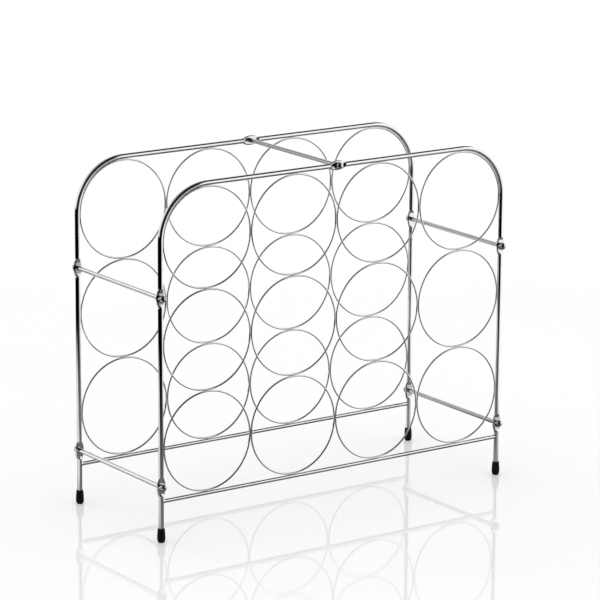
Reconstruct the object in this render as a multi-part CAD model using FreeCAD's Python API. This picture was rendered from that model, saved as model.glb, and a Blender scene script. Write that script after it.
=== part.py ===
import FreeCAD, Part
import math
import os

from FreeCAD import Vector

# A wine rack for twelve bottles that lie across it. Two flat frames, front and back, are each a bent-rod
# hoop with a bottom rail and a grid of wire rings welded inside it. Five crossbars hold the frames apart:
# each shoulder stops against a flattened eye in the hoop, the stud goes through, and a cap nut closes it.
# Push-on rubber caps on the four legs are the feet.
# Millimetres. +X is to the right, +Y to the back, +Z up. The origin is on the floor under the middle.

# Driving dimensions
columns = 4
rows = 3
ring_pitch = 100.0  # from one bottle's ring to the next, sideways and upwards
ring_wire = 1.8
weld_sink = 0.1  # how far two welded wires sink into each other
hoop_rod = 5.0
rail_rod = 4.0
crossbar_rod = 4.5
frame_spacing = 150.0  # between the middle planes of the two frames
rail_height = 40.5  # of the bottom rail's axis above the floor
bend_clearance = 0.5  # the bend is this much tighter than one concentric with the corner ring

eye_length = 18.5
eye_width = 9.8
eye_thickness = 2.6
eye_flat_length = 8.0
eye_edge_round = 0.9
eye_hole = 4.4
lower_eye_height = 55.0
upper_eye_height = 240.0

stud_diameter = 4.0
stud_grip = 4.2  # how far the stud reaches into its nut
end_chamfer = 0.4

nut_across_flats = 7.0
nut_hex_height = 2.7
nut_dome_radius = 3.3
nut_height = 6.0
nut_bore = 4.1
nut_bore_depth = 4.6

foot_height = 13.8
foot_floor = 2.6  # rubber under the end of the leg
foot_pad_radius = 2.2
foot_waist_radius = 4.0
foot_waist_height = 4.2
foot_top_radius = 3.4
foot_lip_round = 0.4

# Worked out from them
hoop_radius = hoop_rod / 2
ring_radius = (ring_pitch - ring_wire + weld_sink) / 2
hoop_half_width = columns * ring_pitch / 2 + hoop_radius
cells_bottom = rail_height + rail_rod / 2
hoop_top = cells_bottom + rows * ring_pitch + hoop_radius
bend_radius = ring_pitch / 2 + hoop_radius - bend_clearance
frames = {"front": -frame_spacing / 2, "back": frame_spacing / 2}
eye_spots = {
    "top": (0, hoop_top),
    "upper_left": (-hoop_half_width, upper_eye_height),
    "upper_right": (hoop_half_width, upper_eye_height),
    "lower_left": (-hoop_half_width, lower_eye_height),
    "lower_right": (hoop_half_width, lower_eye_height),
}

along_x = Vector(1, 0, 0)
along_y = Vector(0, 1, 0)
along_z = Vector(0, 0, 1)
centre = Vector(0, 0, 0)


def closed_outline(edges):
    """A flat face inside a closed run of edges."""
    return Part.Face(Part.Wire(edges))


def chamfered_rod(diameter, length, chamfer):
    """A round rod that stands on the origin along Z, with a chamfer at both ends."""
    rod = Part.makeCylinder(diameter / 2, length)
    rims = [edge for edge in rod.Edges if isinstance(edge.Curve, Part.Circle)]
    return rod.makeChamfer(chamfer, rims)


def bent_rod():
    """The hoop's rod before its eyes are formed: leg, bend, top, bend, leg, in the plane y = 0."""
    outer = hoop_half_width
    inner = hoop_half_width - bend_radius
    shoulder = hoop_top - bend_radius
    reach = bend_radius * math.sqrt(0.5)
    left_leg = Part.LineSegment(Vector(-outer, 0, foot_floor), Vector(-outer, 0, shoulder))
    left_bend = Part.Arc(
        Vector(-outer, 0, shoulder),
        Vector(-inner - reach, 0, shoulder + reach),
        Vector(-inner, 0, hoop_top),
    )
    top = Part.LineSegment(Vector(-inner, 0, hoop_top), Vector(inner, 0, hoop_top))
    right_bend = Part.Arc(
        Vector(inner, 0, hoop_top),
        Vector(inner + reach, 0, shoulder + reach),
        Vector(outer, 0, shoulder),
    )
    right_leg = Part.LineSegment(Vector(outer, 0, shoulder), Vector(outer, 0, foot_floor))
    path = Part.Wire([c.toShape() for c in (left_leg, left_bend, top, right_bend, right_leg)])
    section = Part.Wire(Part.makeCircle(hoop_radius, Vector(-outer, 0, foot_floor), along_z))
    return path.makePipeShell([section], True, True)


def eye_blank():
    """The flattened rod of one eye, lying along Z: a lens with its flat faces towards -Y and +Y."""
    half_length = eye_length / 2
    side = eye_width / 2
    tip = math.sqrt(hoop_radius**2 - (eye_thickness / 2) ** 2)
    y = -eye_thickness / 2
    corners = [Vector(x, y, z) for x, z in ((tip, -1), (tip, 1), (-tip, 1), (-tip, -1))]
    for corner in corners:
        corner.z *= half_length
    right = Part.Arc(corners[0], Vector(side, y, 0), corners[1]).toShape()
    end = Part.LineSegment(corners[1], corners[2]).toShape()
    left = Part.Arc(corners[2], Vector(-side, y, 0), corners[3]).toShape()
    start = Part.LineSegment(corners[3], corners[0]).toShape()
    blank = closed_outline([right, end, left, start]).extrude(along_y * eye_thickness)
    rims = [edge for edge in blank.Edges if isinstance(edge.Curve, Part.Circle)]
    return blank.makeFillet(eye_edge_round, rims)


def eye_flats():
    """The two wedges that coining takes off a rod along Z, in front of it and behind it."""
    half_length = eye_length / 2
    half_flat = eye_flat_length / 2
    y = hoop_radius
    outline = [
        Vector(-hoop_rod, y, -half_length),
        Vector(-hoop_rod, eye_thickness / 2, -half_flat),
        Vector(-hoop_rod, eye_thickness / 2, half_flat),
        Vector(-hoop_rod, y, half_length),
    ]
    wedge = Part.Face(Part.makePolygon(outline + outline[:1])).extrude(along_x * (2 * hoop_rod))
    return [wedge, wedge.mirror(centre, along_y)]


def hoop():
    """One bent-rod hoop in the plane y = 0, with its five coined and drilled eyes."""
    rod = bent_rod()
    flats, blanks, holes = [], [], []
    for name, (x, z) in eye_spots.items():
        turn = 90 if name == "top" else 0
        for shapes, made in ((flats, eye_flats()), (blanks, [eye_blank()])):
            for shape in made:
                shape.rotate(centre, along_y, turn)
                shape.translate(Vector(x, 0, z))
                shapes.append(shape)
        holes.append(Part.makeCylinder(eye_hole / 2, hoop_rod, Vector(x, -hoop_radius, z), along_y))
    return rod.cut(flats).fuse(blanks).cut(holes)


def bottom_rail():
    """The rail between the legs in the plane y = 0, coped to fit against them."""
    start = Vector(-hoop_half_width, 0, rail_height)
    rail = Part.makeCylinder(rail_rod / 2, 2 * hoop_half_width, start, along_x)
    legs = [
        Part.makeCylinder(hoop_radius, 2 * rail_rod, Vector(x, 0, rail_height - rail_rod), along_z)
        for x in (-hoop_half_width, hoop_half_width)
    ]
    return rail.cut(legs)


def ring(column, row):
    """One bottle's ring in the plane y = 0. Columns count from the left and rows from the bottom."""
    x = (column - (columns - 1) / 2) * ring_pitch
    z = cells_bottom + (row + 0.5) * ring_pitch
    return Part.makeTorus(ring_radius, ring_wire / 2, Vector(x, 0, z), along_y)


def crossbar(x, z):
    """One crossbar between the frames, with a stud at each end that reaches through the eye into a nut."""
    bar_length = frame_spacing - eye_thickness
    stud_length = frame_spacing + eye_thickness + 2 * stud_grip
    bar = Part.makeCylinder(crossbar_rod / 2, bar_length, Vector(0, 0, -bar_length / 2))
    stud = chamfered_rod(stud_diameter, stud_length, end_chamfer)
    stud.translate(Vector(0, 0, -stud_length / 2))
    both = bar.fuse(stud)
    both.rotate(centre, along_x, 90)
    both.translate(Vector(x, 0, z))
    return both


def cap_nut():
    """One cap nut that sits on the origin with its dome towards +Z: a hexagon, a dome and a blind bore."""
    corner_radius = nut_across_flats / math.sqrt(3)
    corners = []
    for corner in range(6):
        turn = math.radians(60 * corner)
        corners.append(Vector(corner_radius * math.cos(turn), corner_radius * math.sin(turn), 0))
    hexagon = Part.Face(Part.makePolygon(corners + corners[:1])).extrude(along_z * nut_hex_height)
    # the hexagon's corners are turned down at 30 degrees on both faces
    drop = (corner_radius - nut_across_flats / 2) * math.tan(math.radians(30))
    low = Part.makeCone(nut_across_flats / 2, corner_radius, drop)
    middle = Part.makeCylinder(corner_radius, nut_hex_height - 2 * drop, along_z * drop)
    high = Part.makeCone(corner_radius, nut_across_flats / 2, drop, along_z * (nut_hex_height - drop))
    hexagon = hexagon.common(low.fuse([middle, high]))
    dome_base = nut_height - nut_dome_radius
    dome = Part.makeSphere(nut_dome_radius, along_z * dome_base, along_z, 0, 90)
    neck = Part.makeCylinder(nut_dome_radius, dome_base)
    bore = Part.makeCylinder(nut_bore / 2, nut_bore_depth)
    return hexagon.fuse([neck, dome]).cut(bore).removeSplitter()


def foot_cap():
    """One rubber cap, standing on the origin: a bullet shape with a blind bore for the leg."""
    lip = foot_lip_round
    bend_out = foot_pad_radius + 0.72 * (foot_waist_radius - foot_pad_radius)
    bend = Vector(bend_out, 0, 0.38 * foot_waist_height)
    pad_edge = Vector(foot_pad_radius, 0, 0)
    waist = Vector(foot_waist_radius, 0, foot_waist_height)
    lip_start = Vector(foot_top_radius, 0, foot_height - lip)
    lip_middle = Vector(foot_top_radius - 0.3 * lip, 0, foot_height - 0.3 * lip)
    lip_end = Vector(foot_top_radius - lip, 0, foot_height)
    mouth = Vector(hoop_radius, 0, foot_height)
    seat_edge = Vector(hoop_radius, 0, foot_floor)
    seat = Vector(0, 0, foot_floor)
    outline = [
        Part.LineSegment(centre, pad_edge),
        Part.Arc(pad_edge, bend, waist),
        Part.LineSegment(waist, lip_start),
        Part.Arc(lip_start, lip_middle, lip_end),
        Part.LineSegment(lip_end, mouth),
        Part.LineSegment(mouth, seat_edge),
        Part.LineSegment(seat_edge, seat),
        Part.LineSegment(seat, centre),
    ]
    return closed_outline([c.toShape() for c in outline]).revolve(centre, along_z, 360)


def moved(shape, x, y, z):
    """A copy of the shape, moved."""
    copy = shape.copy()
    copy.translate(Vector(x, y, z))
    return copy


def frame_nodes(side, y):
    """The welded pieces of one frame."""
    nodes = {
        f"{side}_hoop": moved(hoop(), 0, y, 0),
        f"{side}_bottom_rail": moved(bottom_rail(), 0, y, 0),
    }
    for row, level in enumerate(("bottom", "middle", "top")):
        for column in range(columns):
            nodes[f"{side}_ring_{level}_{column + 1}"] = moved(ring(column, row), 0, y, 0)
    return nodes


def nut_nodes(side, y):
    """The cap nuts on one frame's outer face, domes outwards."""
    outwards = math.copysign(1, y)
    nodes = {}
    for spot, (x, z) in eye_spots.items():
        nut = cap_nut()
        nut.rotate(centre, along_x, -90 * outwards)
        nodes[f"{side}_{spot}_cap_nut"] = moved(nut, x, y + outwards * eye_thickness / 2, z)
    return nodes


def foot_nodes(side, y):
    """The rubber caps on one frame's two legs."""
    cap = foot_cap()
    return {
        f"{side}_left_foot": moved(cap, -hoop_half_width, y, 0),
        f"{side}_right_foot": moved(cap, hoop_half_width, y, 0),
    }


def rack_nodes():
    """Every node of the rack by name."""
    nodes = {f"{spot}_crossbar": crossbar(x, z) for spot, (x, z) in eye_spots.items()}
    for side, y in frames.items():
        nodes.update(frame_nodes(side, y))
        nodes.update(nut_nodes(side, y))
        nodes.update(foot_nodes(side, y))
    return nodes


os.makedirs("parts", exist_ok=True)
for node, shape in rack_nodes().items():
    shape.exportStep(f"parts/{node}.step")
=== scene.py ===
import math

import bmesh
import bpy
from mathutils import Matrix, Vector, noise


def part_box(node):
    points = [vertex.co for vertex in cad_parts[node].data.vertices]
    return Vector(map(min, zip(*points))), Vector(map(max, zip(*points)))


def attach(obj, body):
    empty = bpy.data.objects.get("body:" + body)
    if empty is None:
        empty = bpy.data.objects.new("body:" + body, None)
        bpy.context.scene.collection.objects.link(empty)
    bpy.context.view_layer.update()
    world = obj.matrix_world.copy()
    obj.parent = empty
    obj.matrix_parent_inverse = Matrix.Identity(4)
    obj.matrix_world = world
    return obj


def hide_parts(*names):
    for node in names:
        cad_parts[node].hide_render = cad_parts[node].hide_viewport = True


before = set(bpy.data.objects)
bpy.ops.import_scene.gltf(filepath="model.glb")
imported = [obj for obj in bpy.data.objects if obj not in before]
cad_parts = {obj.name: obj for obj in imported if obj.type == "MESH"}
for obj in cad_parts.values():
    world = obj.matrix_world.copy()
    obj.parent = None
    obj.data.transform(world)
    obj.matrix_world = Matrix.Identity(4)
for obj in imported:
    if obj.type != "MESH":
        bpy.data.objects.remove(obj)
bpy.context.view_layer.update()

# A chrome wine rack for twelve bottles: two flat frames of bent rod filled with welded wire rings, held
# apart by five crossbars with cap nuts, on four rubber caps. Metres, in the frame's own coordinates.

SIDES = {"front": -1, "back": 1}
LEVELS = ("bottom", "middle", "top")
COLUMNS = (1, 2, 3, 4)
SPOTS = ("top", "upper_left", "upper_right", "lower_left", "lower_right")

# ---------------------------------------------------------------- sizes read from the frame


def middle(node):
    low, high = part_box(node)
    return (low + high) / 2


def extent(node):
    low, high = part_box(node)
    return high - low


def ring_node(side, level, column):
    return f"{side}_ring_{level}_{column}"


ROD_RADIUS = extent("front_hoop").y / 2
HOOP_HALF_WIDTH = middle("front_right_foot").x
HOOP_TOP = middle("top_crossbar").z
PLANE = {side: middle(f"{side}_hoop").y for side in SIDES}
RING_PITCH = middle("front_ring_bottom_2").x - middle("front_ring_bottom_1").x
WIRE_RADIUS = extent("front_ring_bottom_1").y / 2
RING_RADIUS = extent("front_ring_bottom_1").x / 2 - WIRE_RADIUS
RAIL_RADIUS = extent("front_bottom_rail").z / 2
RAIL_HEIGHT = middle("front_bottom_rail").z
EYE_HALF_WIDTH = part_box("front_hoop")[1].z - HOOP_TOP
EYE_HALF_THICKNESS = PLANE["front"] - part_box("front_top_cap_nut")[1].y
BAR_RADIUS = extent("top_crossbar").x / 2
BAR_HALF_LENGTH = PLANE["back"] - EYE_HALF_THICKNESS
BAR_STUD_END = extent("top_crossbar").y / 2

# Sizes that no box shows: inside the feet, at the bends, in the eyes and in the nuts.
LEG_START = 0.0026
BEND_CLEARANCE = 0.0005
BEND_RADIUS = RING_PITCH / 2 + ROD_RADIUS - BEND_CLEARANCE
EYE_HALF_LENGTH = 0.00925
EYE_HALF_FLAT = 0.0066
COINED_HALF_LENGTH = 0.0072
EYE_ROUNDNESS = 0.9
HOLE_RADIUS = 0.0022
STUD_RADIUS = 0.0020


def eased(value):
    """0 below 0, 1 above 1 and a soft S between."""
    value = min(1.0, max(0.0, value))
    return value * value * (3 - 2 * value)


# ---------------------------------------------------------------- mesh building


class Skin:
    """A mesh made of rings of points that are joined one after another, with lengths as its UVs."""

    def __init__(self):
        self.mesh = bmesh.new()
        self.uv = self.mesh.loops.layers.uv.new("lengths")

    def ring(self, points):
        return [self.mesh.verts.new(point) for point in points]

    def face(self, corners, lengths):
        made = self.mesh.faces.new(corners)
        for loop, pair in zip(made.loops, lengths):
            loop[self.uv].uv = pair

    def join(self, first, second, along, width, skip=()):
        """Quads between two closed rings, or triangles where one of them is a single point."""
        count = max(len(first), len(second))
        u, v = along
        for index in range(count):
            if index in skip:
                continue
            after = (index + 1) % count
            left, right = width * index / count, width * (index + 1) / count
            if len(first) == 1:
                self.face((first[0], second[after], second[index]), ((u, left), (v, right), (v, left)))
            elif len(second) == 1:
                self.face((first[index], first[after], second[0]), ((u, left), (u, right), (v, left)))
            else:
                corners = (first[index], first[after], second[after], second[index])
                self.face(corners, ((u, left), (u, right), (v, right), (v, left)))

    def run(self, rings, distances, width, closed=False):
        for index in range(len(rings) - 1):
            self.join(rings[index], rings[index + 1], distances[index : index + 2], width)
        if closed:
            self.join(rings[-1], rings[0], distances[-2:], width)

    def piece(self, name, material, node=None, sharp_angle=35):
        """The finished object, riding on the rack's one body."""
        bmesh.ops.recalc_face_normals(self.mesh, faces=self.mesh.faces)
        for edge in self.mesh.edges:
            if len(edge.link_faces) == 2:
                edge.smooth = edge.calc_face_angle() < math.radians(sharp_angle)
        for face in self.mesh.faces:
            face.smooth = True
        data = bpy.data.meshes.new(name)
        self.mesh.to_mesh(data)
        self.mesh.free()
        data.materials.append(material)
        made = bpy.data.objects.new(name, data)
        bpy.context.scene.collection.objects.link(made)
        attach(made, "root")
        if node:
            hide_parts(node)
        return made


def turned(skin, profile, place, sides=40):
    """A lathe shape from (radius, height) pairs. Place turns a local point into the frame."""
    rings, distances, run = [], [], 0.0
    for index, (radius, height) in enumerate(profile):
        if index:
            run += math.dist(profile[index - 1], (radius, height))
        distances.append(run)
        if radius == 0:
            rings.append(skin.ring([place(Vector((0, 0, height)))]))
            continue
        points = []
        for step in range(sides):
            angle = 2 * math.pi * step / sides
            local = Vector((radius * math.cos(angle), radius * math.sin(angle), height))
            points.append(place(local))
        rings.append(skin.ring(points))
    widest = max(radius for radius, height in profile)
    skin.run(rings, distances, 2 * math.pi * widest)


def arc(centre_radius, centre_height, radius, start, end, steps):
    """Profile points on a circular arc, angles in degrees from the outward direction."""
    points = []
    for step in range(steps + 1):
        angle = math.radians(start + (end - start) * step / steps)
        points.append((centre_radius + radius * math.cos(angle), centre_height + radius * math.sin(angle)))
    return points


# ---------------------------------------------------------------- materials


class Nodes:
    """Short ways to add shader nodes to one material."""

    def __init__(self, name):
        self.material = bpy.data.materials.new(name)
        self.material.use_nodes = True
        self.tree = self.material.node_tree
        self.tree.nodes.clear()
        self.output = self.tree.nodes.new("ShaderNodeOutputMaterial")

    def add(self, kind, inputs=None, **settings):
        made = self.tree.nodes.new(kind)
        for name, value in settings.items():
            setattr(made, name, value)
        for name, value in (inputs or {}).items():
            if isinstance(value, bpy.types.NodeSocket):
                self.tree.links.new(value, made.inputs[name])
            else:
                made.inputs[name].default_value = value
        return made

    def coordinates(self, kind, scale):
        source = self.add("ShaderNodeTexCoord").outputs[kind]
        return self.add("ShaderNodeMapping", {"Vector": source, "Scale": scale}).outputs["Vector"]

    def noise(self, vector, scale, detail=3.0, roughness=0.5):
        inputs = {"Vector": vector, "Scale": scale, "Detail": detail, "Roughness": roughness}
        return self.add("ShaderNodeTexNoise", inputs).outputs["Fac"]

    def ranged(self, value, low, high, to_low, to_high):
        inputs = {"Value": value, "From Min": low, "From Max": high, "To Min": to_low, "To Max": to_high}
        return self.add("ShaderNodeMapRange", inputs, interpolation_type="SMOOTHSTEP").outputs["Result"]

    def rise(self, value, low, high):
        """0 up to low, 1 from high on, soft in between."""
        return self.ranged(value, low, high, 0.0, 1.0)

    def fall(self, value, low, high):
        """1 up to low, 0 from high on, soft in between."""
        return self.ranged(value, low, high, 1.0, 0.0)

    def vector(self, operation, first, second=None):
        inputs = {0: first} if second is None else {0: first, 1: second}
        return self.add("ShaderNodeVectorMath", inputs, operation=operation).outputs["Vector"]

    def length(self, vector):
        return self.add("ShaderNodeVectorMath", {0: vector}, operation="LENGTH").outputs["Value"]

    def along(self, vector, direction):
        """How much of the vector points this way."""
        inputs = {0: vector, 1: direction}
        return self.add("ShaderNodeVectorMath", inputs, operation="DOT_PRODUCT").outputs["Value"]

    def split(self, vector):
        made = self.add("ShaderNodeSeparateXYZ", {"Vector": vector})
        return made.outputs["X"], made.outputs["Y"], made.outputs["Z"]

    def maths(self, operation, first, second):
        return self.add("ShaderNodeMath", {0: first, 1: second}, operation=operation).outputs["Value"]

    def sum(self, first, second):
        return self.maths("ADD", first, second)

    def product(self, first, *others):
        for other in others:
            first = self.maths("MULTIPLY", first, other)
        return first

    def larger(self, first, second):
        return self.maths("MAXIMUM", first, second)

    def rest(self, share):
        """What is left of 1."""
        return self.maths("SUBTRACT", 1.0, share)

    def between(self, share, first, second):
        """The first number where share is 0, the second where it is 1."""
        return self.sum(self.product(first, self.rest(share)), self.product(share, second))

    def blend(self, share, first, second):
        made = self.add("ShaderNodeMix", data_type="RGBA")
        self.tree.links.new(share, made.inputs[0])
        for index, value in ((6, first), (7, second)):
            if isinstance(value, bpy.types.NodeSocket):
                self.tree.links.new(value, made.inputs[index])
            else:
                made.inputs[index].default_value = (*value, 1)
        return made.outputs[2]

    def bump(self, height, strength, distance, below=None):
        inputs = {"Height": height, "Strength": strength, "Distance": distance}
        if below is not None:
            inputs["Normal"] = below
        return self.add("ShaderNodeBump", inputs).outputs["Normal"]

    def finish(self, inputs):
        shader = self.add("ShaderNodeBsdfPrincipled", inputs)
        self.tree.links.new(shader.outputs["BSDF"], self.output.inputs["Surface"])
        return self.material


# The coined eyes' tone is partly a duller pressed finish and partly painted shade, darker so the eyes show
# the grey they reflect.
COINED_CHROME_PAINTED_SHADE = (0.84, 0.84, 0.85)
COINED_DEPTH = 0.00005


def plated_metal(name, bright, dull, smooth, rough, line_depth, peel_depth):
    """Chrome plate: faint lines along the drawn wire, orange peel, handling marks, and hammered coined
    eyes whose darker tone is painted shade.
    """
    nodes = Nodes(name)
    along_wire = nodes.coordinates("UV", (40, 2600, 1))
    lines = nodes.noise(along_wire, 1.0, 4.0, 0.6)
    place = nodes.coordinates("Object", (1, 1, 1))
    peel = nodes.noise(place, 900.0, 2.0, 0.5)
    marks = nodes.noise(place, 45.0, 5.0, 0.62)
    specks = nodes.noise(place, 420.0, 3.0, 0.7)
    hammered = nodes.noise(place, 1100.0, 3.0, 0.6)
    coined = nodes.add("ShaderNodeAttribute", attribute_name="coined").outputs["Fac"]
    colour = nodes.blend(nodes.rise(marks, 0.35, 0.68), bright, dull)
    # Hammered mottle on the coined faces, blended towards the darker coined tone: real texture carrying
    # painted shade.
    mottle_and_painted_shade = nodes.product(coined, nodes.ranged(hammered, 0.35, 0.6, 0.5, 1.0))
    colour = nodes.blend(mottle_and_painted_shade, colour, COINED_CHROME_PAINTED_SHADE)
    gloss = nodes.ranged(marks, 0.4, 0.72, smooth, rough)
    gloss = nodes.sum(gloss, nodes.ranged(specks, 0.62, 0.75, 0.0, 0.05))
    gloss = nodes.sum(gloss, nodes.product(coined, 0.04))
    normal = nodes.bump(lines, 0.3, line_depth)
    normal = nodes.bump(peel, 0.25, peel_depth, normal)
    normal = nodes.bump(nodes.product(hammered, coined), 0.3, COINED_DEPTH, normal)
    return nodes.finish({"Base Color": colour, "Metallic": 1.0, "Roughness": gloss, "Normal": normal})


def weld_metal():
    """Plated weld metal: duller, pitted and a little darker than the wire."""
    nodes = Nodes("plated_weld")
    place = nodes.coordinates("Object", (1, 1, 1))
    grain = nodes.noise(place, 1500.0, 4.0, 0.65)
    tone = nodes.noise(place, 260.0, 3.0, 0.5)
    colour = nodes.blend(nodes.rise(tone, 0.35, 0.65), (0.62, 0.61, 0.60), (0.36, 0.355, 0.35))
    gloss = nodes.ranged(grain, 0.3, 0.7, 0.16, 0.38)
    normal = nodes.bump(grain, 0.5, 0.00006)
    return nodes.finish({"Base Color": colour, "Metallic": 1.0, "Roughness": gloss, "Normal": normal})


def black_rubber():
    """Moulded black rubber with a fine matt grain and slightly dusty lighter patches."""
    nodes = Nodes("black_rubber")
    place = nodes.coordinates("Object", (1, 1, 1))
    grain = nodes.noise(place, 1400.0, 5.0, 0.6)
    dust = nodes.noise(place, 160.0, 4.0, 0.6)
    colour = nodes.blend(nodes.rise(dust, 0.42, 0.75), (0.003, 0.003, 0.003), (0.009, 0.009, 0.009))
    gloss = nodes.ranged(grain, 0.3, 0.7, 0.48, 0.68)
    normal = nodes.bump(grain, 0.4, 0.00008)
    inputs = {"Base Color": colour, "Roughness": gloss, "Normal": normal, "Specular IOR Level": 0.2}
    return nodes.finish(inputs)


def glossy_board():
    """The studio's white acrylic board: faintly mottled, with a soft mirror image at low angles."""
    nodes = Nodes("white_acrylic_board")
    place = nodes.coordinates("Object", (1, 1, 1))
    tone = nodes.noise(place, 1.6, 3.0, 0.5)
    haze = nodes.noise(place, 14.0, 4.0, 0.55)
    colour = nodes.blend(nodes.rise(tone, 0.3, 0.7), (0.92, 0.92, 0.925), (0.905, 0.907, 0.912))
    gloss = nodes.ranged(haze, 0.3, 0.7, 0.03, 0.045)
    return nodes.finish({"Base Color": colour, "Roughness": gloss, "IOR": 1.5})


ROD_CHROME = plated_metal(
    "chromed_rod",
    bright=(0.93, 0.935, 0.94),
    dull=(0.84, 0.845, 0.86),
    smooth=0.02,
    rough=0.06,
    line_depth=0.000006,
    peel_depth=0.00001,
)
WIRE_CHROME = plated_metal(
    "chromed_wire",
    bright=(0.92, 0.925, 0.93),
    dull=(0.82, 0.825, 0.84),
    smooth=0.03,
    rough=0.08,
    line_depth=0.000012,
    peel_depth=0.00001,
)
# The cap nuts' plating is darker than the rod's: painted shade that stands in for the dark room these
# chrome nuts reflect.
NUT_CHROME_PAINTED_DARK = plated_metal(
    "nut_plating",
    bright=(0.7, 0.7, 0.705),
    dull=(0.55, 0.55, 0.56),
    smooth=0.02,
    rough=0.06,
    line_depth=0.000005,
    peel_depth=0.000008,
)
WELD = weld_metal()
RUBBER = black_rubber()

# ---------------------------------------------------------------- the two hoops

# Points round the rod's section: the front flat, a side, the back flat and the other side.
SECTION_SIDES = 32
FLAT_SHARES = (0.0, 0.306, 0.611, 0.82, 1.0)
# The hole's rim is this many steps along and round the section from the eye's middle.
HOLE_STEPS = 2
# Sections along the rod: out from an eye's middle, past its tip, beside a bend, in a bend, near an end.
EYE_STEPS = (0.0031, 0.004, 0.005, 0.006, 0.007, 0.008, 0.0087)
PAST_EYE_STEPS = (0.0, 0.0003, 0.0015)
BESIDE_BEND = 0.0006
BEND_STEPS = 28
END_STEP = 0.006
CLOSEST_SECTIONS = 1e-5


def flat_section(half_width, half_thickness):
    """The (across, y) points of a flattened rod with round sides, from the middle of its front flat."""
    flat = half_width - half_thickness
    quarter = [(flat * share, -half_thickness) for share in FLAT_SHARES]
    for step in range(1, 5):
        angle = math.radians(-90 + 22.5 * step)
        quarter.append((flat + half_thickness * math.cos(angle), half_thickness * math.sin(angle)))
    right = quarter + [(across, -y) for across, y in reversed(quarter[:-1])]
    left = [(-across, y) for across, y in reversed(right[1:-1])]
    return right + left


def rod_section(offset):
    """The section's (across, y) points at this distance from the middle of an eye."""
    share = min(1.0, offset / EYE_HALF_LENGTH)
    ramp = eased((offset - EYE_HALF_FLAT) / (EYE_HALF_LENGTH - EYE_HALF_FLAT))
    half_width = ROD_RADIUS + (EYE_HALF_WIDTH - ROD_RADIUS) * (1 - share**2) ** EYE_ROUNDNESS
    half_thickness = EYE_HALF_THICKNESS + (ROD_RADIUS - EYE_HALF_THICKNESS) * ramp
    flats = flat_section(half_width, half_thickness)
    points = []
    for index, (flat_across, flat_y) in enumerate(flats):
        angle = 2 * math.pi * index / SECTION_SIDES
        across = flat_across + ramp * (half_width * math.sin(angle) - flat_across)
        y = flat_y + ramp * (-half_thickness * math.cos(angle) - flat_y)
        points.append((across, y))
    return points


def coined_share(offset):
    """1 on an eye's pressed faces, fading to 0 at its tips."""
    return 1 - eased((offset - COINED_HALF_LENGTH) / (EYE_HALF_LENGTH - COINED_HALF_LENGTH))


class HoopPath:
    """The hoop's centre line, from the foot of the left leg over the top to the foot of the right leg."""

    def __init__(self):
        self.shoulder = HOOP_TOP - BEND_RADIUS
        self.inner = HOOP_HALF_WIDTH - BEND_RADIUS
        self.leg = self.shoulder - LEG_START
        self.bend = BEND_RADIUS * math.pi / 2
        self.half = self.leg + self.bend + self.inner

    def at(self, distance):
        """The point and the outward direction at this distance, both (x, z)."""
        mirrored = distance > self.half
        run = 2 * self.half - distance if mirrored else distance
        if run < self.leg:
            point, outward = (-HOOP_HALF_WIDTH, LEG_START + run), (-1.0, 0.0)
        elif run < self.leg + self.bend:
            angle = (run - self.leg) / BEND_RADIUS
            outward = (-math.cos(angle), math.sin(angle))
            point = (-self.inner + BEND_RADIUS * outward[0], self.shoulder + BEND_RADIUS * outward[1])
        else:
            point, outward = (run - self.half, HOOP_TOP), (0.0, 1.0)
        side = -1 if mirrored else 1
        return (side * point[0], point[1]), (side * outward[0], outward[1])

    def eyes(self):
        """Distances of the five eyes' middles."""
        lower = middle("lower_left_crossbar").z - LEG_START
        upper = middle("upper_left_crossbar").z - LEG_START
        return [lower, upper, self.half, 2 * self.half - upper, 2 * self.half - lower]

    def stations(self):
        """Distances of the hoop's sections, close together in the eyes and round the bends."""
        steps = [0.0, 0.5 * HOLE_RADIUS, HOLE_RADIUS, *EYE_STEPS]
        steps += [EYE_HALF_LENGTH + step for step in PAST_EYE_STEPS]
        found = {0.0, END_STEP, 2 * self.half - END_STEP, 2 * self.half}
        for straight_end in (self.leg, self.half - self.inner):
            found.update((straight_end, 2 * self.half - straight_end))
        for near_bend in (self.leg - BESIDE_BEND, self.half - self.inner + BESIDE_BEND):
            found.update((near_bend, 2 * self.half - near_bend))
        for eye in self.eyes():
            for step in steps:
                found.update((eye - step, eye + step))
        for start in (self.leg, self.half + self.inner):
            found.update(start + self.bend * step / BEND_STEPS for step in range(BEND_STEPS + 1))
        ordered = []
        for distance in sorted(found):
            if not ordered or distance - ordered[-1] > CLOSEST_SECTIONS:
                ordered.append(distance)
        return ordered


def hole_rim():
    """The grid steps (along, around) on the rim of an eye's hole, in order."""
    low, high = -HOLE_STEPS, HOLE_STEPS
    rim = [(low, step) for step in range(low, high)]
    rim += [(step, high) for step in range(low, high)]
    rim += [(high, -step) for step in range(low, high)]
    rim += [(-step, low) for step in range(low, high)]
    return rim


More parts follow.
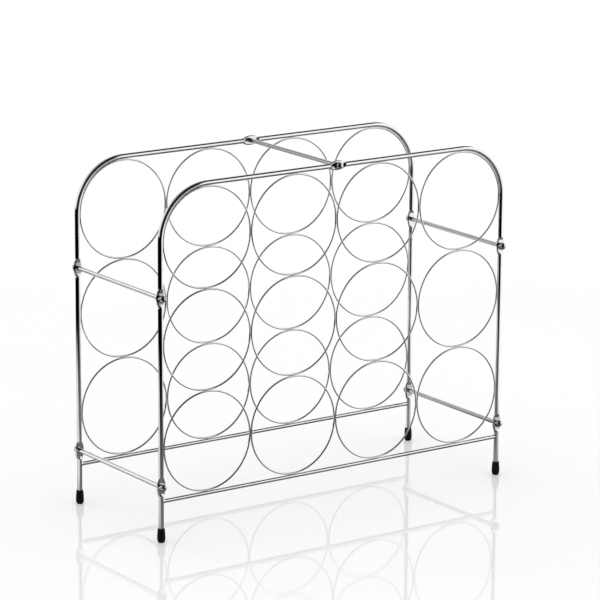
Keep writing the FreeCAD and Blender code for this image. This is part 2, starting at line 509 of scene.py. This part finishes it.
def hoop_mesh(skin, plane):
    """The whole rod in one skin, with a through hole in each eye and both ends closed."""
    path = HoopPath()
    stations = path.stations()
    eyes = path.eyes()
    rings, centres = [], []
    coined = skin.mesh.verts.layers.float.new("coined")
    for index, distance in enumerate(stations):
        (x, z), (out_x, out_z) = path.at(distance)
        offset = min(abs(distance - eye) for eye in eyes)
        if offset < CLOSEST_SECTIONS:
            centres.append(index)
        section = rod_section(offset)
        ring = skin.ring([Vector((x + a * out_x, plane + y, z + a * out_z)) for a, y in section])
        for vertex in ring:
            vertex[coined] = coined_share(offset)
        rings.append(ring)
    for centre in centres:
        drill_hole(skin, rings, centre, path.at(stations[centre]))
    girth = 2 * math.pi * ROD_RADIUS
    for index in range(len(rings) - 1):
        skipped = set()
        if any(-HOLE_STEPS <= index - centre < HOLE_STEPS for centre in centres):
            for flat in (0, SECTION_SIDES // 2):
                skipped.update((flat + step) % SECTION_SIDES for step in range(-HOLE_STEPS, HOLE_STEPS))
        skin.join(rings[index], rings[index + 1], stations[index : index + 2], girth, skipped)
    for ring in (rings[0], rings[-1]):
        skin.face(ring, [(0.0, 0.0)] * len(ring))


def drill_hole(skin, rings, centre, place):
    """Draws the grid round an eye's middle into a circle on both faces and walls it in between."""
    (x, z), (out_x, out_z) = place
    rim = hole_rim()
    loops = []
    for face, flat in ((-1, 0), (1, SECTION_SIDES // 2)):
        loop = []
        for along, around in rim:
            index = (flat - face * around) % SECTION_SIDES
            vertex = rings[centre + along][index]
            reach = Vector((around, along)).normalized() * HOLE_RADIUS
            vertex.co.x = x + reach.x * out_x + reach.y * out_z
            vertex.co.z = z + reach.x * out_z - reach.y * out_x
            loop.append(vertex)
        loops.append(loop)
    skin.join(loops[0], loops[1], (0.0, 2 * EYE_HALF_THICKNESS), 2 * math.pi * HOLE_RADIUS)


def make_hoop(side):
    skin = Skin()
    hoop_mesh(skin, PLANE[side])
    return skin.piece(f"{side}_hoop_piece", ROD_CHROME, f"{side}_hoop")


# ---------------------------------------------------------------- bottom rails, rings and their welds


def make_rail(side):
    """A straight rod whose ends fit round the legs and swell into small weld fillets."""
    skin = Skin()
    sides = 28
    fillet_length, fillet_height = 0.0016, 0.00035
    cope_length, cope_overlap = 0.003, 0.0001
    reach = HOOP_HALF_WIDTH - ROD_RADIUS
    steps = [0.0, 0.0003, 0.0007, 0.0011, fillet_length, cope_length, 0.0034, 0.005]
    left = [(-reach + step, step) for step in steps]
    right = [(reach - step, step) for step in reversed(steps)]
    rings, distances = [], []
    for x, step in left + right:
        radius = RAIL_RADIUS + fillet_height * (1 - min(1.0, step / fillet_length)) ** 2
        points = []
        for index in range(sides):
            angle = 2 * math.pi * index / sides
            y, z = radius * math.cos(angle), radius * math.sin(angle)
            leg_gap = ROD_RADIUS - math.sqrt(ROD_RADIUS**2 - y**2)
            cope = leg_gap * (1 - min(1.0, step / cope_length)) + cope_overlap * (step == 0)
            points.append(Vector((x + math.copysign(cope, x), PLANE[side] + y, RAIL_HEIGHT + z)))
        rings.append(skin.ring(points))
        distances.append(x)
    skin.run(rings, distances, 2 * math.pi * RAIL_RADIUS)
    for ring in (rings[0], rings[-1]):
        skin.face(ring, [(0.0, 0.0)] * len(ring))
    return skin.piece(f"{side}_bottom_rail_piece", ROD_CHROME, f"{side}_bottom_rail")


def make_ring(side, level, column):
    """One bottle's ring of wire."""
    skin = Skin()
    node = ring_node(side, level, column)
    centre = middle(node)
    steps, sides = 144, 14
    rings, distances = [], []
    for step in range(steps):
        turn = 2 * math.pi * step / steps
        outward = Vector((math.sin(turn), 0, math.cos(turn)))
        points = []
        for index in range(sides):
            angle = 2 * math.pi * index / sides
            across = RING_RADIUS + WIRE_RADIUS * math.cos(angle)
            points.append(centre + outward * across + Vector((0, WIRE_RADIUS * math.sin(angle), 0)))
        rings.append(skin.ring(points))
        distances.append(RING_RADIUS * turn)
    skin.run(rings, distances, 2 * math.pi * WIRE_RADIUS, closed=True)
    return skin.piece(f"{node}_piece", WIRE_CHROME, node)


def weld_bead(skin, contact, tangent, flare, half_height, seed):
    """A spindle of weld metal along the line where two wires touch. Flare is how fast they part."""
    half_length, core_half_width = 0.0034, 0.00042
    unevenness, lumps_per_metre = 0.16, 900
    sides, steps = 12, 10
    across = tangent.cross(Vector((0, 1, 0)))
    rings, distances = [], []
    for step in range(steps + 1):
        share = -1 + 2 * step / steps
        along = half_length * share
        taper = math.sqrt(max(0.0, 1 - share**2))
        if taper == 0:
            rings.append(skin.ring([contact + tangent * along]))
            distances.append(along)
            continue
        half_width = (core_half_width + flare * along**2) * taper
        points = []
        for index in range(sides):
            angle = 2 * math.pi * index / sides
            reach = across * (half_width * math.cos(angle))
            reach += Vector((0, half_height * taper * math.sin(angle), 0))
            spot = contact + tangent * along + reach
            uneven = 1 + unevenness * noise.noise(spot * lumps_per_metre + Vector((seed, 0, 0)))
            points.append(contact + tangent * along + reach * uneven)
        rings.append(skin.ring(points))
        distances.append(along)
    skin.run(rings, distances, 2 * math.pi * half_height)


def make_welds(side):
    """The beads where a frame's rings touch each other, the legs, the top rail and the bottom rail."""
    skin = Skin()
    upright, level_way = Vector((0, 0, 1)), Vector((1, 0, 0))
    between_rings, ring_to_rod = 0.5 / RING_RADIUS, 0.25 / RING_RADIUS
    bead_on_rod, bead_on_ring = 0.00072, 0.0006
    reach = RING_RADIUS + WIRE_RADIUS
    seed = 0
    for level in LEVELS:
        for column in COLUMNS:
            centre = middle(ring_node(side, level, column))
            at_left, at_right = column == COLUMNS[0], column == COLUMNS[-1]
            at_bottom, at_top = level == LEVELS[0], level == LEVELS[-1]
            touches = [(level_way, upright, at_right), (upright, level_way, at_top)]
            if at_left:
                touches.append((-level_way, upright, True))
            if at_bottom:
                touches.append((-upright, level_way, True))
            for direction, tangent, on_rod in touches:
                flare = ring_to_rod if on_rod else between_rings
                height = bead_on_rod if on_rod else bead_on_ring
                weld_bead(skin, centre + direction * reach, tangent, flare, height, seed)
                seed += 1
    return skin.piece(f"{side}_ring_welds", WELD)


# ---------------------------------------------------------------- crossbars, cap nuts and feet


def make_crossbar(spot):
    """A turned bar: stud, shoulder, bar, shoulder, stud."""
    skin = Skin()
    centre = middle(f"{spot}_crossbar")
    chamfer, edge, first_ring = 0.0004, 0.00025, 0.004
    end = [
        (0.0, BAR_STUD_END),
        (STUD_RADIUS - chamfer, BAR_STUD_END),
        (STUD_RADIUS, BAR_STUD_END - chamfer),
        (STUD_RADIUS, BAR_HALF_LENGTH),
        (BAR_RADIUS - edge, BAR_HALF_LENGTH),
        (BAR_RADIUS - 0.3 * edge, BAR_HALF_LENGTH - 0.3 * edge),
        (BAR_RADIUS, BAR_HALF_LENGTH - edge),
        (BAR_RADIUS, BAR_HALF_LENGTH - first_ring),
    ]
    profile = end + [(radius, -height) for radius, height in reversed(end)]

    def place(local):
        return centre + Vector((local.x, -local.z, local.y))

    turned(skin, profile, place, 32)
    return skin.piece(f"{spot}_crossbar_piece", ROD_CHROME, f"{spot}_crossbar")


def nut_rings():
    """Heights and outer radii of the cap nut's hexagon, then of its dome."""
    flats, height, dome = 0.0035, 0.0027, 0.0033
    worn_corner = 0.00006
    corner = flats / math.cos(math.radians(30)) - worn_corner
    slope = math.tan(math.radians(60))
    rise = (corner - flats) / slope
    steps = [0.0, 0.2, 0.4, 0.6, 0.8, 1.0]
    hexagon = [(rise * step, flats + rise * step * slope) for step in steps]
    hexagon += [(height - rise * (1 - step), flats + rise * (1 - step) * slope) for step in steps]
    cap = [(z, r) for r, z in arc(0.0, height, dome, 3, 90, 14)]
    return flats, hexagon, cap


def make_nut(side, spot):
    """A hexagon cap nut with turned-down corners, a polished dome and a blind bore for the stud."""
    skin = Skin()
    node = f"{side}_{spot}_cap_nut"
    low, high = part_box(node)
    outward = SIDES[side]
    face_y = low.y if outward > 0 else high.y
    seat = Vector(((low.x + high.x) / 2, face_y, (low.z + high.z) / 2))
    flats, hexagon, cap = nut_rings()
    sides = 72
    bore, bore_depth, drill_tip, countersink = 0.00205, 0.0046, 0.0006, 0.0002

    def ring(radii, height):
        points = []
        for index in range(sides):
            angle = 2 * math.pi * index / sides
            radius = radii(angle)
            local = Vector((radius * math.cos(angle), outward * height, radius * math.sin(angle)))
            points.append(seat + local)
        return skin.ring(points)

    def hexagonal(limit):
        def radius(angle):
            turn = (angle + math.pi / 6) % (math.pi / 3) - math.pi / 6
            return min(limit, flats / math.cos(math.pi / 6 - abs(turn)))

        return radius

    def circular(radius):
        return lambda angle: radius

    rings = [skin.ring([seat + Vector((0, outward * bore_depth, 0))])]
    heights = [bore_depth]
    bore_profile = [(bore_depth - drill_tip, bore), (countersink, bore), (0.0, bore + countersink)]
    for height, radius in bore_profile:
        rings.append(ring(circular(radius), height))
        heights.append(height)
    for height, limit in hexagon:
        rings.append(ring(hexagonal(limit), height))
        heights.append(height)
    for height, radius in cap[:-1]:
        rings.append(ring(circular(radius), height))
        heights.append(height)
    rings.append(skin.ring([seat + Vector((0, outward * cap[-1][0], 0))]))
    heights.append(cap[-1][0])
    skin.run(rings, heights, 2 * math.pi * flats)
    return skin.piece(f"{node}_piece", NUT_CHROME_PAINTED_DARK, node, 22)


def make_foot(side, hand):
    """A push-on rubber cap: pad, round shoulder, waist and a rolled mouth round the leg."""
    skin = Skin()
    node = f"{side}_{hand}_foot"
    low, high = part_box(node)
    base = Vector(((low.x + high.x) / 2, (low.y + high.y) / 2, low.z))
    height = high.z - low.z
    waist = (high.x - low.x) / 2
    pad, waist_height, top, lip = 0.0022, 0.0042, 0.0034, 0.0004
    pad_edge, pad_rise, bulge_depth, mouth = 0.0003, 0.00008, 0.00012, 0.0001
    bore, seat = ROD_RADIUS + 0.00003, LEG_START - 0.0002
    profile = [(0.0, 0.0), (0.6 * pad, 0.0), (pad - pad_edge, 0.0), (pad, pad_rise)]
    for step in range(1, 9):
        angle = math.radians(90 * step / 8)
        profile.append((pad + (waist - pad) * math.sin(angle), waist_height * (1 - math.cos(angle))))
    for step in range(1, 7):
        share = step / 6
        bulge = bulge_depth * math.sin(math.pi * share)
        radius = waist + (top - waist) * share + bulge
        profile.append((radius, waist_height + (height - lip - waist_height) * share))
    profile += arc(top - lip, height - lip, lip, 15, 90, 5)
    profile += [(bore + mouth, height), (bore, height - 1.5 * mouth), (bore, seat), (0.0, seat)]

    def place(local):
        return base + local

    turned(skin, profile, place, 44)
    return skin.piece(f"{node}_piece", RUBBER, node, 50)


def make_rack():
    for side in SIDES:
        make_hoop(side)
        make_rail(side)
        for level in LEVELS:
            for column in COLUMNS:
                make_ring(side, level, column)
        make_welds(side)
        for spot in SPOTS:
            make_nut(side, spot)
        for hand in ("left", "right"):
            make_foot(side, hand)
    for spot in SPOTS:
        make_crossbar(spot)


# ---------------------------------------------------------------- studio

FLOOR_HALF = 14.0
DOME_RADIUS = 6.0
BOARD_DEPTH = 0.002
WALL_STRENGTH = 1.03
WORLD_STRENGTH = 1.08
SCREEN_TURN = math.radians(35)
SCREEN_DISTANCE = 0.42
SCREEN_LEFT, SCREEN_RIGHT, SCREEN_TOP = -0.12, 0.56, 0.9


def card(name, material, points, faces):
    data = bpy.data.meshes.new(name)
    data.from_pydata(points, [], faces)
    data.materials.append(material)
    made = bpy.data.objects.new(name, data)
    bpy.context.scene.collection.objects.link(made)
    return made


def heading(turn, rise=0.0):
    """A direction. Turn is from the front towards the left and rise from the horizon up, in degrees."""
    turn, rise = math.radians(turn), math.radians(rise)
    return (-math.sin(turn) * math.cos(rise), -math.cos(turn) * math.cos(rise), math.sin(rise))


def only_reflected(made):
    """Seen only in the chrome: it neither shows, lights nor shades anything."""
    made.visible_camera = False
    made.visible_diffuse = False
    made.visible_transmission = False
    made.visible_volume_scatter = False
    made.visible_shadow = False


def make_floor():
    half = FLOOR_HALF
    corners = [(-half, -half, 0), (half, -half, 0), (half, half, 0), (-half, half, 0)]
    floor = card("floor", glossy_board(), corners, [(0, 1, 2, 3)])
    floor.visible_glossy = False
    return floor


def glow(nodes, strength):
    """White light of this strength that lights nothing by itself."""
    nodes.material.cycles.emission_sampling = "NONE"
    made = nodes.add("ShaderNodeEmission", {"Color": (1, 1, 1, 1), "Strength": strength})
    return made.outputs["Emission"]


def shown(nodes, shader):
    nodes.tree.links.new(shader, nodes.output.inputs["Surface"])
    return nodes.material


def walls_material():
    """White walls under a dark ceiling that leans down to the left, with a white backdrop behind."""
    nodes = Nodes("reflected_walls")
    place = nodes.add("ShaderNodeTexCoord").outputs["Object"]
    ray = nodes.vector("NORMALIZE", place)
    sideways, depth, height = nodes.split(ray)
    ceiling = nodes.rise(nodes.along(ray, heading(115, 38)), -0.2, -0.06)
    dark_side = nodes.rise(nodes.along(ray, heading(65)), -0.1, 0.02)
    backdrop_top = nodes.ranged(sideways, 0.05, 0.4, 0.6, 0.36)
    over_backdrop = nodes.rise(nodes.maths("SUBTRACT", height, backdrop_top), 0.0, 0.08)
    backdrop = nodes.product(nodes.rise(depth, 0.1, 0.3), nodes.rest(over_backdrop))
    dark = nodes.product(nodes.larger(ceiling, dark_side), nodes.rest(backdrop))
    ceiling_strength = nodes.ranged(nodes.along(ray, (-0.4, 1, 0)), -0.2, 1.0, 0.012, 0.6)
    return shown(nodes, glow(nodes, nodes.between(dark, WALL_STRENGTH, ceiling_strength)))


def foot_shade(nodes, place):
    """The rack's own soft shade on the board, deepest in front of each foot."""
    deepest = 0.0
    for side in SIDES:
        for hand in ("left", "right"):
            foot = middle(f"{side}_{hand}_foot")
            away = nodes.vector("SUBTRACT", place, (foot.x, foot.y, 0))
            in_front = nodes.along(nodes.vector("NORMALIZE", away), heading(35))
            depth = nodes.ranged(in_front, -0.2, 0.95, 0.28, 0.76)
            shade = nodes.product(depth, nodes.fall(nodes.length(away), 0.2, 0.34))
            deepest = nodes.larger(deepest, shade)
    return deepest


def dark_zone(nodes, sideways, depth, flat, distance):
    """How dark the board is in front of the rack and near its left half, and how strong it glows there."""
    way = nodes.vector("NORMALIZE", nodes.vector("SUBTRACT", flat, (0.09, -0.04, 0)))
    edge, core = math.cos(math.radians(94)), math.cos(math.radians(74))
    front = nodes.rise(nodes.along(way, heading(66)), edge, core)
    near = nodes.product(
        nodes.fall(distance, 0.22, 0.4),
        nodes.rest(nodes.rise(depth, -0.05, 0.2)),
        nodes.fall(sideways, -0.16, -0.04),
    )
    fading = nodes.ranged(distance, 0.2, 0.75, 0.15, 0.0)
    lit_left = nodes.product(
        nodes.ranged(sideways, -0.31, -0.18, 0.8, 0.0),
        nodes.rise(depth, -0.3, 0.0),
        nodes.fall(distance, 0.65, 0.95),
    )
    return nodes.larger(front, near), nodes.larger(fading, lit_left)


def board_material():
    """The board as chrome sees it: grey from above, a mirror of the walls at low angles, dark in front."""
    nodes = Nodes("reflected_board")
    place = nodes.add("ShaderNodeTexCoord").outputs["Object"]
    sideways, depth = nodes.split(place)[:2]
    flat = nodes.vector("MULTIPLY", place, (1, 1, 0))
    shaded, shade = dark_zone(nodes, sideways, depth, flat, nodes.length(flat))
    grazing = nodes.add("ShaderNodeLayerWeight", {"Blend": 0.5}).outputs["Facing"]
    lowness = nodes.sum(grazing, nodes.product(nodes.rise(depth, -0.05, 0.2), 0.22))
    mirror = nodes.ranged(lowness, 0.58, 0.72, 0.22, 1.0)
    mirror = nodes.product(mirror, nodes.rest(foot_shade(nodes, place)))
    return shown(nodes, glow(nodes, nodes.between(shaded, mirror, shade)))


def screen_material():
    """A grey screen behind the rack with soft edges, clear to anything that looks at it from one side."""
    nodes = Nodes("reflected_screen")
    place = nodes.add("ShaderNodeTexCoord").outputs["Object"]
    height = nodes.split(place)[2]
    across = nodes.along(place, (math.cos(SCREEN_TURN), math.sin(SCREEN_TURN), 0))
    shadow = nodes.product(nodes.ranged(height, 0.5, 0.64, 0.0, 0.6), nodes.fall(across, 0.3, 0.42))
    tone = nodes.product(nodes.ranged(height, 0.0, 0.5, 0.22, 0.5), nodes.rest(shadow))
    askew = nodes.add("ShaderNodeLayerWeight", {"Blend": 0.5}).outputs["Facing"]
    solid = nodes.product(
        nodes.rise(across, -0.09, -0.02),
        nodes.fall(across, 0.3, 0.55),
        nodes.rise(height, 0.0, 0.06),
        nodes.fall(height, 0.75, 0.9),
        nodes.fall(askew, 0.45, 0.56),
    )
    clear = nodes.add("ShaderNodeBsdfTransparent").outputs["BSDF"]
    mixed = nodes.add("ShaderNodeMixShader", {0: solid, 1: clear, 2: glow(nodes, tone)})
    return shown(nodes, mixed.outputs["Shader"])


def make_dome(rim):
    """Rings of points from the horizon up to one point overhead."""
    turns, levels = len(rim), 12
    points, faces = [], []
    for level in range(levels):
        rise = math.pi / 2 * level / levels
        flat, height = DOME_RADIUS * math.cos(rise), DOME_RADIUS * math.sin(rise)
        points += [(flat * math.cos(turn), flat * math.sin(turn), height) for turn in rim]
    points.append((0, 0, DOME_RADIUS))
    top = len(points) - 1
    for level in range(levels):
        for step in range(turns):
            first, second = level * turns + step, level * turns + (step + 1) % turns
            if level + 1 < levels:
                faces.append((first, second, second + turns, first + turns))
            else:
                faces.append((first, second, top))
    only_reflected(card("reflected_walls", walls_material(), points, faces))


def make_board(rim):
    radius = 1.05 * DOME_RADIUS
    edge = [(radius * math.cos(turn), radius * math.sin(turn), -BOARD_DEPTH) for turn in rim]
    only_reflected(card("reflected_board", board_material(), edge, [tuple(range(len(rim)))]))


def make_screen():
    outward = Vector((-math.sin(SCREEN_TURN), math.cos(SCREEN_TURN), 0))
    across = Vector((math.cos(SCREEN_TURN), math.sin(SCREEN_TURN), 0))
    foot = SCREEN_DISTANCE * outward
    top = Vector((0, 0, SCREEN_TOP))
    left, right = foot + SCREEN_LEFT * across, foot + SCREEN_RIGHT * across
    corners = [left, right, right + top, left + top]
    only_reflected(card("reflected_screen", screen_material(), corners, [(0, 1, 2, 3)]))


def make_surround():
    """A dome, a low disc and a screen that only the chrome sees."""
    turns = 48
    rim = [2 * math.pi * step / turns for step in range(turns)]
    make_dome(rim)
    make_board(rim)
    make_screen()


def make_light():
    world = bpy.data.worlds.new("white_studio")
    world.use_nodes = True
    background = world.node_tree.nodes["Background"]
    background.inputs["Color"].default_value = (1, 1, 1, 1)
    background.inputs["Strength"].default_value = WORLD_STRENGTH
    bpy.context.scene.world = world


def make_camera():
    """The photo's viewing angle: from the front left, a little above, through a long lens."""
    yaw, pitch, roll = math.radians(34.89), math.radians(-13.83), math.radians(0.37)
    forward = Vector((math.sin(yaw) * math.cos(pitch), math.cos(yaw) * math.cos(pitch), math.sin(pitch)))
    right = Vector((math.cos(yaw), -math.sin(yaw), 0))
    up = right.cross(forward)
    rolled_right = math.cos(roll) * right + math.sin(roll) * up
    rolled_up = math.cos(roll) * up - math.sin(roll) * right
    data = bpy.data.cameras.new("camera")
    data.sensor_width = 36
    data.lens = 201.2
    data.clip_end = 60
    camera = bpy.data.objects.new("camera", data)
    bpy.context.scene.collection.objects.link(camera)
    aim, distance = Vector((0.0015, -0.0117, 0.1978)), 3.323
    turn = Matrix((rolled_right, rolled_up, -forward)).transposed().to_4x4()
    camera.matrix_world = Matrix.Translation(aim - distance * forward) @ turn
    bpy.context.scene.camera = camera


make_rack()
make_floor()
make_surround()
make_light()
make_camera()
bpy.context.scene.view_settings.view_transform = "Standard"
